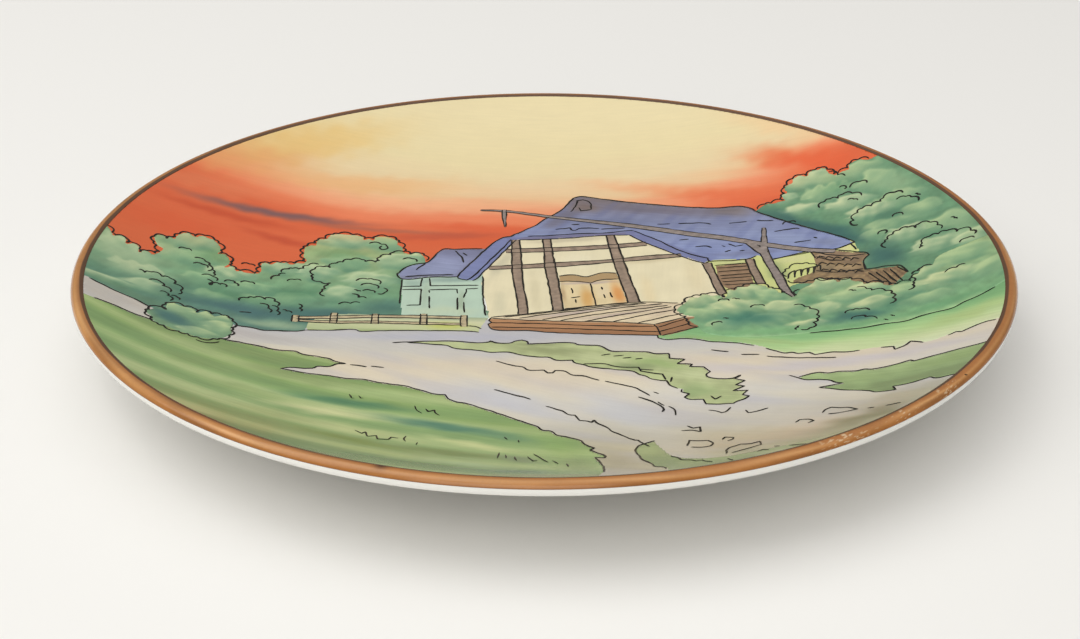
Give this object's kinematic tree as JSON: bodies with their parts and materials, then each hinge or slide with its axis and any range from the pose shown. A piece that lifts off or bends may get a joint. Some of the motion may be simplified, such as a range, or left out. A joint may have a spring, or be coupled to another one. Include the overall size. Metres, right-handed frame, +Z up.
{
  "type": "decorative ceramic plate",
  "caption": "Shallow coupe plate on a foot ring, with a brown rim band and a painted thatched farmhouse at sunset in enamel colours under black outlines.",
  "frame": {"origin": "centre of the circle that the foot ring stands on, on the table's plane", "axes": "+Z up along the plate's axis, +Y towards the top of the picture, +X to the picture's right"},
  "size_m": [0.2603, 0.2604, 0.0264],
  "materials": {
    "plate_body": "matt bisque, hidden under the glaze",
    "foot_ring": "bare, wiped, slightly sandy",
    "dipped_glaze": "clear gloss over white",
    "foot_well_glaze": "clear gloss over white",
    "rim_band": "gloss brown, worn on the outer edge",
    "sky_enamel": "gloss wash, cream to orange",
    "path_enamel": "gloss wash, beige to lilac grey",
    "left_verge_enamel": "gloss wash, yellow green",
    "left_trees_enamel": "gloss wash, greens",
    "right_verge_enamel": "gloss wash, green to pale yellow",
    "right_trees_enamel": "gloss wash, greens to dark teal",
    "right_bushes_enamel": "gloss wash, greens",
    "bush_enamel": "gloss wash, yellow green to blue grey",
    "annex_wall_enamel": "gloss wash, mint",
    "house_wall_enamel": "gloss wash, cream",
    "side_wall_enamel": "gloss wash, pale yellow",
    "roof_enamel": "gloss wash, grey brown to periwinkle",
    "annex_roof_enamel": "gloss wash, grey",
    "deck_enamel": "gloss wash, cream to brown",
    "door_enamel": "gloss wash, cream to ochre",
    "shutter_enamel": "gloss brown",
    "log_pile_enamel": "gloss brown",
    "lawn_enamel": "gloss wash, greens",
    "middle_grass_enamel": "gloss wash, greens",
    "right_grass_enamel": "gloss wash, greens",
    "front_grass_enamel": "gloss wash, greens",
    "timber_enamel": "gloss grey brown",
    "fence_enamel": "gloss pale grey brown",
    "pole_enamel": "gloss pale grey brown",
    "ink_lines": "satin black enamel"
  },
  "bodies": {
    "root": {"plate_body": "plate_body", "foot_ring": "foot_ring", "dipped_glaze": "dipped_glaze", "foot_well_glaze": "foot_well_glaze", "rim_band": "rim_band", "sky_enamel": "sky_enamel", "path_enamel": "path_enamel", "left_verge_enamel": "left_verge_enamel", "left_trees_enamel": "left_trees_enamel", "right_verge_enamel": "right_verge_enamel", "right_trees_enamel": "right_trees_enamel", "right_bushes_enamel": "right_bushes_enamel", "bush_enamel": "bush_enamel", "annex_wall_enamel": "annex_wall_enamel", "house_wall_enamel": "house_wall_enamel", "side_wall_enamel": "side_wall_enamel", "roof_enamel": "roof_enamel", "annex_roof_enamel": "annex_roof_enamel", "deck_enamel": "deck_enamel", "door_enamel": "door_enamel", "shutter_enamel": "shutter_enamel", "log_pile_enamel": "log_pile_enamel", "lawn_enamel": "lawn_enamel", "middle_grass_enamel": "middle_grass_enamel", "right_grass_enamel": "right_grass_enamel", "front_grass_enamel": "front_grass_enamel", "timber_enamel": "timber_enamel", "fence_enamel": "fence_enamel", "pole_enamel": "pole_enamel", "ink_lines": "ink_lines"}
  },
  "joints": []
}
